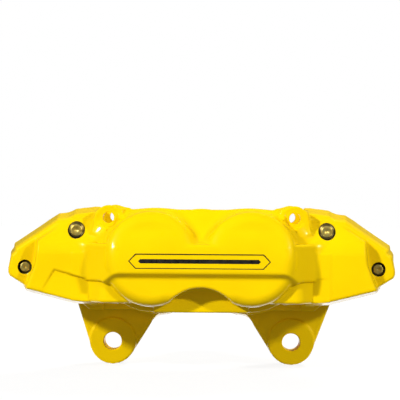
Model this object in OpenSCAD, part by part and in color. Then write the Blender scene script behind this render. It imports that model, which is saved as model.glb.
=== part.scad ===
/* [Hydraulics] */
// Diameter of each of the four pistons
piston_d = 48; // [46:0.5:49]
// Distance between the two piston centres of one half
piston_pitch = 70.8; // [69:0.2:74]
// Height of the piston centres above the mounting holes
piston_z = 65.9; // [65:0.1:67]
// How far a retracted piston stands out of its bore
piston_proud = 2.5; // [2:0.1:3]

/* [Disc and pads] */
// Distance between the two pad-side faces
pad_gap = 66; // [64:1:68]
// Width of the slot that the brake disc turns in
disc_slot = 40; // [36:1:42]
// Radius of the disc slot, about 3 mm more than the disc
disc_slot_r = 178; // [177:0.5:178.5]
// Height of the wheel axis, below the mounting holes
disc_axis_z = -78.5; // [-79:0.1:-78]
// Clear width between the pad abutments
pad_window = 150; // [148:1:151]

/* [Castings] */
// From the disc's centre plane to the outer face of the raised band
band_face = 66; // [65:0.5:68]
// From the disc's centre plane to the faces of the cylinder lobes
lobe_face = 62.5; // [62:0.5:64]
// Radius of the cylinder lobes
lobe_r = 33.6; // [33:0.1:34.5]
// From the disc's centre plane to the raised end faces
raised_face = 44; // [43:0.5:46]
// From the disc's centre plane to the end pads
end_face = 32; // [31:0.5:33]

/* [Mounting ears] */
// Distance between the two mounting holes
ear_pitch = 136; // [134:0.5:138]
// Diameter of each mounting hole, clear for an M12 bolt
ear_hole_d = 13.5; // [13:0.1:14]
// From the disc's centre plane to the ears' mating face
ear_face = 36; // [35:0.5:38]
// Thickness of each ear
ear_t = 18; // [16:1:20]
// Radius of each ear's round end
ear_r = 17.5; // [17:0.5:18]

/* [Fasteners] */
// Diameter of the two upper bridge bolts
upper_bolt_d = 12; // [12:1:12]
// Diameter of the two end bridge bolts
end_bolt_d = 10; // [10:1:10]
// Diameter of the holes for the pad pins
pad_pin_d = 8; // [7.5:0.1:8.2]

/* [Hidden] */
$fn = 64;

// Places shared by several pieces, as distances along Y from the disc's centre plane
gap_face = pad_gap / 2;
// Spot faces of the pad-pin lugs, so a pin passes through 82 mm in all
pin_face = 41;
bore_floor = 57.5;
boot_seat = 38;
seal_centre = 41;
passage_y = 50;
left = -1;
right = 1;
outboard = -1;
inboard = 1;

// Radii of one cylinder and what it holds
piston_r = piston_d / 2;
bore_r = piston_r + 0.05;
seal_groove_r = piston_r + 3.2;
boot_seat_r = piston_r + 4;
boot_groove_r = piston_r - 1.5;
piston_front = gap_face - piston_proud;
boot_groove_y = piston_front + 1;
boot_groove_w = 2.2;

// Places across the face, as [X, Z] of the right-hand side
upper_bolt_at = [90, 86];
end_bolt_at = [127.5, 59];
pad_pin_at = [66.7, 95.2];
pin_lug_r = 9;
crossover_at = [110, 72];
inlet_at = [-100, 60];
bleeder_at = [0, 90];

// Bolts: where the thread ends, where the head seats, and the heads
upper_bolt_end = 36;
upper_bolt_seat = 37;
upper_head_r = 11;
upper_hex_r = 9.8;
end_bolt_end = 30.5;
end_head_r = 9.2;
end_hex_r = 8.1;
washer_t = 2.5;
hex_t = 8;

// Bleeder screw, along +Y out of its boss
bleeder_seat = 43;
bleeder_boss = 57;
bleeder_hex_end = 64.5;
bleeder_tip = 76;
bleeder_r = 5;
nipple_r = 3.4;

// Outlines of the right-hand side, as [X, Z], from below the end round to the top
leg_root = 70;
leg_outline = [
    [leg_root, 33], [91, 33], [109, 38.5], [126, 42.5], [140, 51.5], [141.5, 54.5],
    [141.5, 67], [138.8, 73.8], [105.8, 97.4], [77, 99.4], [leg_root, 99.4]];
leg_neck = [
    [leg_root, 35.5], [90, 35.5], [108.5, 41], [124.5, 44.5], [137, 52.5], [139.2, 56],
    [139.2, 66], [136.5, 71], [98, 97], [77, 98.8], [leg_root, 98.8]];
raised_outline = [
    [leg_root, 36], [92, 36.5], [124, 44.5], [117.6, 62.2], [116, 77.5], [90.5, 93.5],
    [79, 95], [leg_root, 95]];
// Cross-section of the web that joins the two lobes, as [distance from the disc, Z]
web_top = 100.9;
web_section = [
    [33, 36], [33, web_top], [36.5, web_top], [50, 80.5], [57, 73], [57, 52], [50, 45],
    [44, 45], [40, 36]];
// Plan of the raised band, as [X, distance from the disc]
band_plan = [[-67, 50], [-67, 58], [-61, band_face], [61, band_face], [67, 58], [67, 50]];
band_low = 56.5;
band_high = 73.5;
// Shoulder between each lobe and the end face, as [X, Z]
shoulder_outline = [[45, 38], [74, 38], [79, 50], [79, 76], [70, 90], [45, 90]];
shoulder_face = 52;
// Arch between the lobes' lower ends, and the wall left behind it in each half
arch_z = 17.6;
arch_r = 27.8;
outer_wall = 37;
outer_wall_low = 27.8;
inner_wall = 52;
inner_wall_low = 22.3;
// Ear outline, as [X, Z], tangent to its round end
ear_outline = [
    [96.5, 36], [96.2, 28.6], [84.7, -5.3], [68, -3], [52.8, -8.7], [39.7, 12.1],
    [34, 20], [31, 23.5], [31, 36]];

// Moves a piece from the disc's centre plane to the frame of the ears' mating face
module in_frame() {
    translate([0, -ear_face, 0]) children();
}

// The same shape on the left and on the right
module both_ends() {
    children();
    mirror([1, 0, 0]) children();
}

// Extrudes an [X, Z] outline along Y, from near to far
module plate(near, far) {
    translate([0, far, 0]) rotate([90, 0, 0]) linear_extrude(far - near) children();
}

// A round bar or hole along Y at [X, Z], from near to far
module rod(at, r, near, far) {
    translate([at[0], far, at[1]]) rotate([90, 0, 0]) cylinder(r = r, h = far - near);
}

// A straight drilling between two points
module drilling(from, to, r) {
    way = to - from;
    along = norm(way);
    tilt = acos(way[2] / along);
    heading = atan2(way[1], way[0]);
    translate(from) rotate([0, tilt, heading]) cylinder(r = r, h = along);
}

// Turns a profile given as [radius, distance from the disc] about a cylinder's axis
module turned(x, side) {
    translate([x, 0, piston_z])
        rotate([side == inboard ? -90 : 90, 0, 0])
            rotate_extrude() children();
}

// One cylinder's bore, with the groove of its seal and the seat of its boot
module cylinder_bore() {
    translate([piston_pitch / 2, 0, piston_z]) rotate([-90, 0, 0]) {
        translate([0, 0, gap_face - 1]) cylinder(r = bore_r, h = bore_floor - gap_face + 1);
        translate([0, 0, seal_centre - 1.9]) cylinder(r = seal_groove_r, h = 3.8);
        translate([0, 0, gap_face - 1]) cylinder(r = boot_seat_r, h = boot_seat - gap_face + 1);
    }
}

// One cylinder lobe: a flat face with a round shoulder, and the skirt on its pad side
module lobe(skirt_r) {
    translate([piston_pitch / 2, 0, piston_z]) rotate([-90, 0, 0]) rotate_extrude()
        polygon([
            [0, gap_face], [skirt_r, gap_face], [skirt_r, gap_face + 5], [lobe_r, gap_face + 8],
            [lobe_r, lobe_face - 12], [lobe_r - 1.6, lobe_face - 6], [lobe_r - 5, lobe_face - 1.6],
            [lobe_r - 9, lobe_face], [0, lobe_face]]);
}

// The solid shape of a half, on the +Y side of the disc
module half_solid(skirt_r, skirt_low) {
    both_ends() {
        plate(0, 14) polygon(leg_outline);
        plate(14, end_face) polygon(leg_neck);
        plate(end_face - 1, raised_face) polygon(raised_outline);
        lobe(skirt_r);
        rod(pad_pin_at, pin_lug_r, gap_face, pin_face);
        plate(gap_face, raised_face)
            polygon([[30, skirt_low], [84, skirt_low], [90, 36], [90, 80], [30, 80]]);
        plate(raised_face - 1, shoulder_face) polygon(shoulder_outline);
    }
    rotate([90, 0, 90]) translate([0, 0, -pad_window / 2 - 1])
        linear_extrude(pad_window + 2) polygon(web_section);
}

// What is cut out of a half: disc slot, pad window, bores, drillings and holes
module half_cuts() {
    rod([0, disc_axis_z], disc_slot_r, -1, disc_slot / 2);
    translate([-pad_window / 2, -1, 20]) cube([pad_window, gap_face + 1, 90]);
    drilling([-piston_pitch / 2, passage_y, piston_z], [piston_pitch / 2, passage_y, piston_z], 2);
    top_cut();
    both_ends() {
        cylinder_bore();
        rod(pad_pin_at, pad_pin_d / 2, gap_face - 1, pin_face + 1);
        rod(pad_pin_at, pin_lug_r, pin_face, raised_face + 1);
        rod(crossover_at, 1.8, -1, 31);
        drilling([crossover_at[0], 30, crossover_at[1]], [58, 46, 68], 1.8);
        slope_cut();
    }
}

// Leans the end faces back above their crease
module slope_cut() {
    from_x = 80;
    crease_z = 75;
    lean = 38;
    translate([from_x, raised_face, crease_z]) rotate([lean, 0, 0]) cube([60, 20, 60]);
}

// Levels the lobes' skirts with the top of the web, between the two lugs
module top_cut() {
    width = 2 * (pad_pin_at[0] - pin_lug_r);
    translate([-width / 2, gap_face - 1, web_top]) cube([width, 10, 10]);
}

module outboard_half() {
    color("gold") in_frame() mirror([0, 1, 0]) difference() {
        union() {
            half_solid(38.3, 34.5);
            raised_band();
            arch_wall(outer_wall, outer_wall_low);
        }
        half_cuts();
        both_ends() {
            rod(upper_bolt_at, upper_bolt_d / 2 + 0.05, -1, raised_face + 1);
            rod(end_bolt_at, end_bolt_d / 2 + 0.05, -1, end_face + 1);
        }
        rod([0, arch_z], arch_r, outer_wall, band_face + 1);
    }
}

// The raised band across both lobes
module raised_band() {
    translate([0, 0, band_low]) linear_extrude(band_high - band_low) polygon(band_plan);
}

// The wall that closes the arch on the pad side
module arch_wall(far, low) {
    plate(gap_face, far) polygon([[-32, low], [32, low], [32, 50], [-32, 50]]);
}

module inboard_half() {
    color("goldenrod") in_frame() difference() {
        union() {
            half_solid(40.5, 24.1);
            arch_wall(inner_wall, inner_wall_low);
            both_ends() {
                plate(ear_face, ear_face + ear_t) polygon(ear_outline);
                rod([ear_pitch / 2, 0], ear_r, ear_face, ear_face + ear_t);
            }
            rod(bleeder_at, 8, gap_face + 3, bleeder_boss);
            rod(inlet_at, 9, raised_face - 2, 50);
        }
        half_cuts();
        both_ends() {
            rod([ear_pitch / 2, 0], ear_hole_d / 2, ear_face - 1, ear_face + ear_t + 1);
            rod(upper_bolt_at, upper_bolt_d / 2 + 0.5, -1, raised_face + 1);
            rod(upper_bolt_at, upper_head_r + 1, upper_bolt_seat, raised_face + 8);
            rod(end_bolt_at, end_bolt_d / 2 + 0.5, -1, end_face + 1);
            rod(end_bolt_at, end_head_r + 1, end_face, raised_face + 8);
            rod(crossover_at, 7, -1, 1.5);
        }
        rod(bleeder_at, bleeder_r + 0.05, bleeder_seat, bleeder_boss + 1);
        rod(bleeder_at, 2, bleeder_seat - 4, bleeder_boss);
        drilling([0, bleeder_seat - 3, bleeder_at[1]], [0, passage_y, piston_z], 2);
        rod(inlet_at, 5, 36, 51);
        drilling([inlet_at[0], 38, inlet_at[1]], [-58, 47, 64], 2);
        rod([0, arch_z], arch_r, inner_wall, band_face + 1);
    }
}

// One bridge bolt along Y: thread, flange and hexagon head with a chamfered thread end
module bridge_bolt(at, d, end, seat, flange_r, hex_r) {
    translate([at[0], -end, at[1]]) rotate([-90, 0, 0]) {
        cylinder(r1 = d / 2 - 1, r2 = d / 2, h = 1);
        translate([0, 0, 1]) cylinder(r = d / 2, h = end + seat - 1);
        translate([0, 0, end + seat]) cylinder(r1 = flange_r, r2 = flange_r - 1.5, h = washer_t);
        translate([0, 0, end + seat + washer_t]) cylinder(r = hex_r, h = hex_t, $fn = 6);
    }
}

module bridge_bolts_upper() {
    color("darkkhaki") in_frame() both_ends()
        bridge_bolt(upper_bolt_at, upper_bolt_d, upper_bolt_end, upper_bolt_seat,
            upper_head_r, upper_hex_r);
}

module bridge_bolts_end() {
    color("darkkhaki") in_frame() both_ends()
        bridge_bolt(end_bolt_at, end_bolt_d, end_bolt_end, end_face, end_head_r, end_hex_r);
}

// A cup piston, open towards the pad, with a groove for the boot's lip
module piston(x, side) {
    wall = 4.5;
    back = bore_floor - 1;
    color("silver") in_frame() turned(x, side)
        polygon([
            [0, back], [piston_r - 1, back], [piston_r, back - 1],
            [piston_r, boot_groove_y + boot_groove_w], [boot_groove_r, boot_groove_y + boot_groove_w],
            [boot_groove_r, boot_groove_y], [piston_r - 0.4, boot_groove_y],
            [piston_r - 0.4, piston_front], [boot_groove_r - wall + 1.5, piston_front],
            [boot_groove_r - wall + 1.5, back - 7], [0, back - 7]]);
}

// A square-cut ring that seals and retracts its piston
module piston_seal(x, side) {
    inner = piston_r + 0.04;
    outer = seal_groove_r - 0.1;
    color("dimgray") in_frame() turned(x, side)
        polygon([
            [inner, seal_centre - 1.7], [outer, seal_centre - 1.7],
            [outer, seal_centre + 1.7], [inner, seal_centre + 1.7]]);
}

// A rubber boot: a bead in the casting, one fold, and a lip in the piston's groove
module piston_boot(x, side) {
    bead = boot_seat_r - 0.15;
    lip = boot_groove_r + 0.3;
    near = boot_groove_y + 0.3;
    step = boot_groove_y + boot_groove_w - 0.3;
    color("black") in_frame() turned(x, side)
        polygon([
            [lip, near], [piston_r + 1.4, near], [piston_r + 2.1, boot_seat - 3.3],
            [bead, boot_seat - 3.3], [bead, boot_seat - 0.2], [piston_r + 0.6, boot_seat - 0.2],
            [piston_r + 0.6, step], [lip, step]]);
}

// A round wire ring that holds the boot's bead in its seat
module boot_ring(x, side) {
    wire_r = 0.75;
    color("lightgray") in_frame() turned(x, side)
        translate([boot_seat_r - 0.9, boot_seat - 3.4 - wire_r]) circle(r = wire_r, $fn = 24);
}

// Ring seals where the fluid passage crosses from one half to the other
module crossover_seals() {
    color("black") in_frame() both_ends()
        translate([crossover_at[0], 0.05, crossover_at[1]]) rotate([-90, 0, 0]) difference() {
            cylinder(r = 6.8, h = 1.4);
            translate([0, 0, -1]) cylinder(r = 4, h = 4);
        }
}

// The bleeder screw: tapered seat, thread, hexagon and hose nipple, drilled through
module bleeder_screw() {
    color("darkkhaki") in_frame() translate([bleeder_at[0], 0, bleeder_at[1]]) rotate([-90, 0, 0])
        difference() {
            union() {
                translate([0, 0, bleeder_seat + 0.3]) cylinder(r1 = 2, r2 = 4, h = 3);
                translate([0, 0, bleeder_seat + 3.3]) cylinder(r = 4, h = 2);
                translate([0, 0, bleeder_seat + 5]) cylinder(r = bleeder_r, h = bleeder_boss - bleeder_seat - 5);
                translate([0, 0, bleeder_boss]) cylinder(r = 4.2, h = 1.5);
                translate([0, 0, bleeder_boss + 1.5])
                    cylinder(r = 5.77, h = bleeder_hex_end - bleeder_boss - 1.5, $fn = 6);
                translate([0, 0, bleeder_hex_end]) cylinder(r = nipple_r - 0.8, h = 4);
                translate([0, 0, bleeder_hex_end + 4]) cylinder(r = nipple_r, h = 2);
                translate([0, 0, bleeder_hex_end + 6])
                    cylinder(r1 = nipple_r, r2 = 2.2, h = bleeder_tip - bleeder_hex_end - 6);
            }
            translate([0, 0, bleeder_seat + 6]) cylinder(r = 1, h = 40);
            translate([-6, 0, bleeder_seat + 4.3]) rotate([0, 90, 0]) cylinder(r = 0.6, h = 12);
        }
}

// The rubber cap that keeps dirt out of the nipple
module bleeder_cap() {
    inner_r = nipple_r + 0.05;
    color("black") in_frame() translate([bleeder_at[0], 0, bleeder_at[1]]) rotate([-90, 0, 0])
        rotate_extrude() polygon([
            [inner_r, bleeder_hex_end + 1], [5.2, bleeder_hex_end + 1], [5.2, bleeder_hex_end + 3],
            [4.7, bleeder_hex_end + 3.5], [4.7, bleeder_tip + 0.8], [4, bleeder_tip + 1.8],
            [0, bleeder_tip + 1.8], [0, bleeder_tip + 0.3], [inner_r, bleeder_tip + 0.3]]);
}

outboard_half();
inboard_half();
bridge_bolts_upper();
bridge_bolts_end();
piston(left * piston_pitch / 2, outboard);  // piston_outboard_left
piston(right * piston_pitch / 2, outboard);  // piston_outboard_right
piston(left * piston_pitch / 2, inboard);  // piston_inboard_left
piston(right * piston_pitch / 2, inboard);  // piston_inboard_right
piston_seal(left * piston_pitch / 2, outboard);  // seal_outboard_left
piston_seal(right * piston_pitch / 2, outboard);  // seal_outboard_right
piston_seal(left * piston_pitch / 2, inboard);  // seal_inboard_left
piston_seal(right * piston_pitch / 2, inboard);  // seal_inboard_right
piston_boot(left * piston_pitch / 2, outboard);  // boot_outboard_left
piston_boot(right * piston_pitch / 2, outboard);  // boot_outboard_right
piston_boot(left * piston_pitch / 2, inboard);  // boot_inboard_left
piston_boot(right * piston_pitch / 2, inboard);  // boot_inboard_right
boot_ring(left * piston_pitch / 2, outboard);  // boot_ring_outboard_left
boot_ring(right * piston_pitch / 2, outboard);  // boot_ring_outboard_right
boot_ring(left * piston_pitch / 2, inboard);  // boot_ring_inboard_left
boot_ring(right * piston_pitch / 2, inboard);  // boot_ring_inboard_right
crossover_seals();
bleeder_screw();
bleeder_cap();
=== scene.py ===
"""Looks of a painted four-piston brake caliper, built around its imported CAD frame.

Lengths are in millimetres and are turned into metres where a mesh is made. The two castings are
written as distance fields in (x, d, z): x along the caliper, d outward from the disc's centre
plane, z up, and ax for x without its sign. A field is negative inside the metal, and surface nets
turn it into a mesh. The smaller pieces are turned or swept from profiles.
"""

import math

import bpy
import numpy as np
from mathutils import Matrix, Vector


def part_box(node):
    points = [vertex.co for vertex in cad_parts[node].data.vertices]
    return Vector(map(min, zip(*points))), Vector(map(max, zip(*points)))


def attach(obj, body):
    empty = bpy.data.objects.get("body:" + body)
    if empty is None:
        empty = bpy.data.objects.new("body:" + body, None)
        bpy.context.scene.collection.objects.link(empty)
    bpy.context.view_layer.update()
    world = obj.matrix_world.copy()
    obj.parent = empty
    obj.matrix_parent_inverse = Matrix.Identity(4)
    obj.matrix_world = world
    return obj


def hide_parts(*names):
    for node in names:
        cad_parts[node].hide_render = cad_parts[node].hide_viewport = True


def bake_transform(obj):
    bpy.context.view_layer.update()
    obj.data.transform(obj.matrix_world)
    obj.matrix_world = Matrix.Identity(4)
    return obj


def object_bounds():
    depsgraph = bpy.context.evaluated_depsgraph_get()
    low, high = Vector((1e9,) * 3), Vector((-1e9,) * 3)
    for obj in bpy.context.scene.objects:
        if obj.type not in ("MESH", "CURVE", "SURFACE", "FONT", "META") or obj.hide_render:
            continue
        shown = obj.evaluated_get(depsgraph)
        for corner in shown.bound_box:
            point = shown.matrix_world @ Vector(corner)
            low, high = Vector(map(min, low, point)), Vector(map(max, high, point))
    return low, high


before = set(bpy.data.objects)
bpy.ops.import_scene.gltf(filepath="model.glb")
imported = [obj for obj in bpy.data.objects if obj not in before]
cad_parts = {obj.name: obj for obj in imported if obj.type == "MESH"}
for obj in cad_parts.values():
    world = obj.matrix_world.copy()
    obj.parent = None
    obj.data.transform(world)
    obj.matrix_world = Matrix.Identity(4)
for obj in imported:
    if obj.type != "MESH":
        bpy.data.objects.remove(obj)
CAD_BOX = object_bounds()

MM = 0.001
OUTBOARD = -1
INBOARD = 1
DISC_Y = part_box("outboard_half")[1][1] / MM
FLOOR_Z = CAD_BOX[0][2]

# Places across the face, as (x, z), on the right where there is one on each side
LOBE = (35.4, 65.9)
UPPER_BOLT = (90.0, 86.0)
END_BOLT = (127.5, 59.0)
PAD_PIN = (66.7, 95.2)
EAR_HOLE = (68.0, 0.0)
BLEEDER = (0.0, 90.0)
INLET = (-100.0, 60.0)
CROSSOVER = (110.0, 72.0)
ARCH = (0.0, 17.6)
DISC_AXIS = (0.0, -78.5)

# Radii
LOBE_R = 33.6
SKIRT_R = 38.2
RIM_R = 44.8
ARCH_R = 27.8
DISC_SLOT_R = 178.0
EAR_R = 17.42
EAR_HOLE_R = 6.75
EAR_SPOT_R = 17.9
PIN_HOLE_R = 4.0
PIN_SPOT_R = 7.0
PIN_LUG_R = 8.9
PISTON_R = 24.0
BOOT_SEAT_R = 28.0
SEAL_GROOVE_R = 27.2
UPPER_HEAD_SEAT_R = 12.0
END_HEAD_SEAT_R = 10.2
UPPER_BOSS_R = 13.2
BLEEDER_BOSS_R = 8.0
BLEEDER_HOLE_R = 5.05
INLET_BOSS_R = 9.0
# Bolt holes, close round the threads in the outboard half and clear in the inboard one
UPPER_HOLE_R = {OUTBOARD: 6.2, INBOARD: 6.5}
END_HOLE_R = {OUTBOARD: 5.15, INBOARD: 5.5}

# Distances outward from the disc's centre plane
DISC_SLOT = 20.0
PISTON_FRONT = 30.5
END_FACE = 32.0
END_SEAT = END_FACE - 0.1
GAP_FACE = 33.0
EAR_FACE = 36.0
INLET_BOTTOM = 36.0
SKIRT_FACE = 37.0
RIM_FACE = 37.0
UPPER_SEAT = 37.0
BOOT_SEAT = 38.0
PIN_FACE = 41.0
SEAL = 41.0
BLEEDER_BOTTOM = 43.0
RAISED_FACE = 44.8
OUTER_WALL = 47.0
INLET_FACE = 50.0
INNER_WALL = 52.0
EAR_BACK = 54.0
SHOULDER_FACE = 56.0
BLEEDER_FACE = 57.0
BORE_FLOOR = 57.5
LOWER_LOBE_FACE = 61.3
LOBE_FACE = 62.5
BAND_FACE = 65.95

# Heights
CREASE = 74.5
TOP = 100.8

# Lengths: half the pad window, a boot's wall, and how far cutters run past a face that they open
WINDOW_HALF = 75.0
BOOT_WALL = 0.4
PAST_FACE = 6.0

# Outlines across the face, as (x, z), of the right-hand one of two
LEG_OUTLINE = [
    (60, 34.5), (84, 34.5), (92, 34.2), (109, 38.5), (126, 42.5), (140, 51.2), (141.5, 54.5),
    (141.5, 68.4), (140.9, 70.0), (139.2, 72.2), (138.7, 75.4), (136.2, 77), (105.6, 97.6),
    (77, 99.5), (60, 99.5)]
RAISED_OUTLINE = [
    (60, 34.6), (92, 36), (125, 44.2), (118.4, 62), (116.6, 78), (91, 94.2), (79, 95.6), (60, 95.6)]
EAR_OUTLINE = [
    (95.5, 40), (95.2, 28.6), (84.55, -5.4), (68, -3), (52.85, -8.8), (39.7, 12.1), (38, 15.4),
    (36, 18.2), (33.4, 20.4), (30.3, 21.8), (26.5, 22.5), (26.5, 40)]
# The right-hand ear is a little wider on its outer side
WIDE_EAR_OUTLINE = [(98, 40), (97.6, 28.6), (84.9, -4.6)] + EAR_OUTLINE[3:]


# ---------------------------------------------------------------- distance fields

def meet(a, b, r=1.0):
    """Intersection with a convex edge of radius r."""
    u = np.maximum(a + r, 0)
    v = np.maximum(b + r, 0)
    return np.minimum(np.maximum(a, b), -r) + np.sqrt(u * u + v * v)


def join(a, b, r=1.0):
    """Union with a fillet of radius r."""
    return -meet(-a, -b, r)


def cut(a, b, r=1.0):
    """Field a with field b taken away."""
    return meet(a, -b, r)


def circle(x, z, at, r):
    """Distance outside a circle."""
    return np.hypot(x - at[0], z - at[1]) - r


def between(v, low, high):
    """Distance outside a slab."""
    return np.maximum(low - v, v - high)


def tilted(u, v, at, angle):
    """Distance past a line through at. Its outward side turns from u towards v by angle degrees."""
    c, s = math.cos(math.radians(angle)), math.sin(math.radians(angle))
    return (u - at[0]) * c + (v - at[1]) * s


def outline(x, z, points):
    """Distance outside a closed polygon."""
    shape = np.broadcast(x, z).shape
    nearest = np.full(shape, 1e9)
    inside = np.zeros(shape, dtype=bool)
    for (ax, az), (bx, bz) in zip(points, points[1:] + points[:1]):
        ex, ez = bx - ax, bz - az
        t = np.clip(((x - ax) * ex + (z - az) * ez) / (ex * ex + ez * ez), 0, 1)
        nearest = np.minimum(nearest, (x - ax - t * ex) ** 2 + (z - az - t * ez) ** 2)
        if ez:
            inside ^= (z >= min(az, bz)) & (z < max(az, bz)) & (x < ax + (z - az) / ez * ex)
    return np.where(inside, -1, 1) * np.sqrt(nearest)


def end_leg(ax, d, z):
    """The bolted leg at one end: drafted sides, bevelled towards its end pad."""
    side = outline(ax, z, LEG_OUTLINE)
    # 0 low on the leg and 1 high on it, where it has more draft and a wider bevel
    upper = np.clip((z - 58) / 12, 0, 1)
    draft = (0.06 + 0.09 * upper) * np.maximum(d - 2, 0)
    bevel = 0.86 * side + 0.51 * (d - END_FACE) + 4.8 * upper + 1.6 * (1 - upper)
    return meet(meet(side + draft, bevel, 2.0), d - END_FACE, 1.6)


def raised_end(ax, d, z):
    """The raised face of an end, leaning back above its crease."""
    side = outline(ax, z, RAISED_OUTLINE) + 0.16 * (d - RAISED_FACE)
    face = meet(d - RAISED_FACE, tilted(d, z, (RAISED_FACE, CREASE), 38), 4.0)
    return meet(side, face, 1.6)


def side_slope(ax, d):
    """Distance past the slope that runs from the band's ends out to the raised ends."""
    return tilted(ax, d, (83.0, RAISED_FACE - 0.5), 45.5)


def shoulder(ax, d, z, top):
    """The slope between a lobe and the raised end, leaning back above the crease."""
    slope = meet(side_slope(ax, d), d - top, 2)
    lean = 0.62 * (z - CREASE) + 0.78 * slope
    face = meet(slope, lean, 14.0)
    # How low it reaches, along the caliper
    foot = np.interp(ax, (60, 67.5, 74, 78, 84.7), (46.5, 48.5, 51.6, 52.8, 51.6))
    return meet(meet(face, foot - z, 1.5), np.maximum(50 - ax, z - 93), 2.0)


def lower_slope(ax, d, z):
    """The slope again beneath the shoulder, a small step further in."""
    face = meet(side_slope(ax, d) + 2.6, d - LOWER_LOBE_FACE + 8, 3)
    return meet(face, np.maximum(between(z, 34.8, 54), 50 - ax), 2)


def web(ax, d, z):
    """The wall that joins the lobes, leaning back above them."""
    section = outline(d, z, [
        (30, 36), (30, TOP), (37.0, TOP), (50, 84), (57.5, 75), (60, 62), (56, 50), (46, 43),
        (42, 36)])
    return meet(section, ax - 64, 3)


def pin_lug(ax, d, z):
    """The round lug of a pad pin, and the neck below it."""
    lug = circle(ax, z, PAD_PIN, PIN_LUG_R)
    neck = outline(ax, z, [(56.5, 101.2), (75.5, 98.6), (79, 84), (57, 76)])
    return meet(join(lug, neck, 4), d - PIN_FACE, 1.5)


def two_lobes(x, z, blend):
    """The two cylinders' plan, with a fillet between them."""
    left = circle(x, z, (-LOBE[0], LOBE[1]), LOBE_R)
    right = circle(x, z, LOBE, LOBE_R)
    return join(left, right, blend)


def banded_lobes(x, d, z):
    """Outboard lobes, with the raised band across them and its step beneath."""
    ax = np.abs(x)
    # Two domes with the band across them, which lean back above the band
    plan = join(two_lobes(x, z, 6), np.maximum(ax - LOBE[0], between(z, 50, 76)), 5)
    upper = meet(plan, d - BAND_FACE, 11)
    band = meet(meet(side_slope(ax, d), d - BAND_FACE, 2.5), between(z, 50, 77), 2)
    upper = np.minimum(upper, band)
    upper = meet(upper, tilted(d, z, (BAND_FACE, 73.3), 17), 3)
    upper = np.minimum(upper, shoulder(ax, d, z, BAND_FACE))
    # The band's lower edge, which slopes in
    upper = meet(upper, 0.63 * (d - BAND_FACE) - 0.776 * (z - 56.6), 0.9)
    # The lobes' lower ends, further in, with the arch between them
    low_plan = np.minimum(two_lobes(x, z, 1), np.maximum(ax - LOBE[0], between(z, 34, 66)))
    lower = meet(low_plan, d - LOWER_LOBE_FACE, 8.5)
    lower = cut(lower, circle(x, z, ARCH, ARCH_R), 2.5)
    return join(upper, lower, 1.0)


def plain_lobes(x, d, z):
    """Inboard lobes, plain domes joined by a low rib."""
    ax = np.abs(x)
    lobes = meet(two_lobes(x, z, 9), d - LOBE_FACE, 10)
    rib = meet(between(z, 52, 80), np.maximum(ax - 40, d - 58.5), 4)
    slope = join(shoulder(ax, d, z, SHOULDER_FACE), lower_slope(ax, d, z), 0.8)
    return join(join(lobes, rib, 4), slope, 5)


def recesses(x, d, z):
    """Shallow panels beside the lower ends of the outboard lobes."""
    left = outline(x, z, [
        (-105, 57.5), (-93, 54.3), (-84, 51.8), (-55, 51.8), (-55, 20), (-120, 20), (-112, 45)])
    floor = 43.7 + 0.08 * np.maximum(54 - z, 0) - 0.05 * np.maximum(x + 105, 0)
    left = np.maximum(left, floor - d)
    right = outline(x, z, [(90, 51.8), (55, 51.8), (55, 20), (90, 20)])
    right = np.maximum(right, 41.0 + 0.15 * np.maximum(x - 60, 0) - d)
    return np.minimum(left, right)


def body_of_half(x, d, z, lobes, low):
    """What the two halves share, before they are hollowed. Its root goes down to z = low."""
    ax = np.abs(x)
    body = join(end_leg(ax, d, z), raised_end(ax, d, z), 2.0)
    root = np.maximum(outline(ax, z, [(50, low), (84, low), (92, 36), (92, 70), (50, 70)]),
                      d - RAISED_FACE)
    body = join(body, root, 1.0)
    body = join(body, web(ax, d, z), 4)
    body = join(body, pin_lug(ax, d, z), 3)
    return join(body, lobes, 2.5 + 3.5 * np.clip((z - 70) / 10, 0, 1))


def hollow(body, x, d, z):
    """Takes out the pad window, disc slot and pins' spot faces, and stops at the mating plane."""
    ax = np.abs(x)
    window = np.maximum(ax - WINDOW_HALF, d - GAP_FACE)
    slot = np.maximum(circle(x, z, DISC_AXIS, DISC_SLOT_R), d - DISC_SLOT)
    spot = np.maximum(circle(ax, z, PAD_PIN, PIN_SPOT_R), PIN_FACE - d)
    body = cut(body, spot, 1.0)
    body = cut(body, window, 1.2)
    body = cut(body, slot, 2.0)
    return meet(body, -d, 0.6)


def outboard_field(x, d, z):
    """The outer casting, before its round holes are cut."""
    ax = np.abs(x)
    lobes = banded_lobes(x, d, z)
    body = body_of_half(x, d, z, lobes, 34.8)
    body = cut(body, recesses(x, d, z), 1.3)
    # The recesses stop at the lobes, so the lobes are put back
    raised = join(lobes, lower_slope(ax, d, z), 0.8)
    body = np.minimum(body, np.maximum(raised, 34 - d))
    # The arch leaves a wall behind it, and a skirt and that wall's edge run below the lobes
    arch = np.maximum(circle(x, z, ARCH, ARCH_R) + 0.2 * np.maximum(54 - d, 0), OUTER_WALL - d)
    body = cut(body, arch, 2.0)
    skirt = meet(circle(ax, z, LOBE, SKIRT_R), np.maximum(z - 70, d - SKIRT_FACE), 1.2)
    wall = meet(np.maximum(ax - 34, between(z, 27.8, 60)), d - OUTER_WALL, 1.2)
    body = join(body, join(skirt, wall, 1.5), 1.5)
    # A low oval bump on top, midway
    gate = meet(np.hypot(x / 2.2, z - 97) - 4.6, between(d, 30, 36), 1)
    body = join(body, gate, 2)
    return hollow(body, x, d, z)


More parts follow.
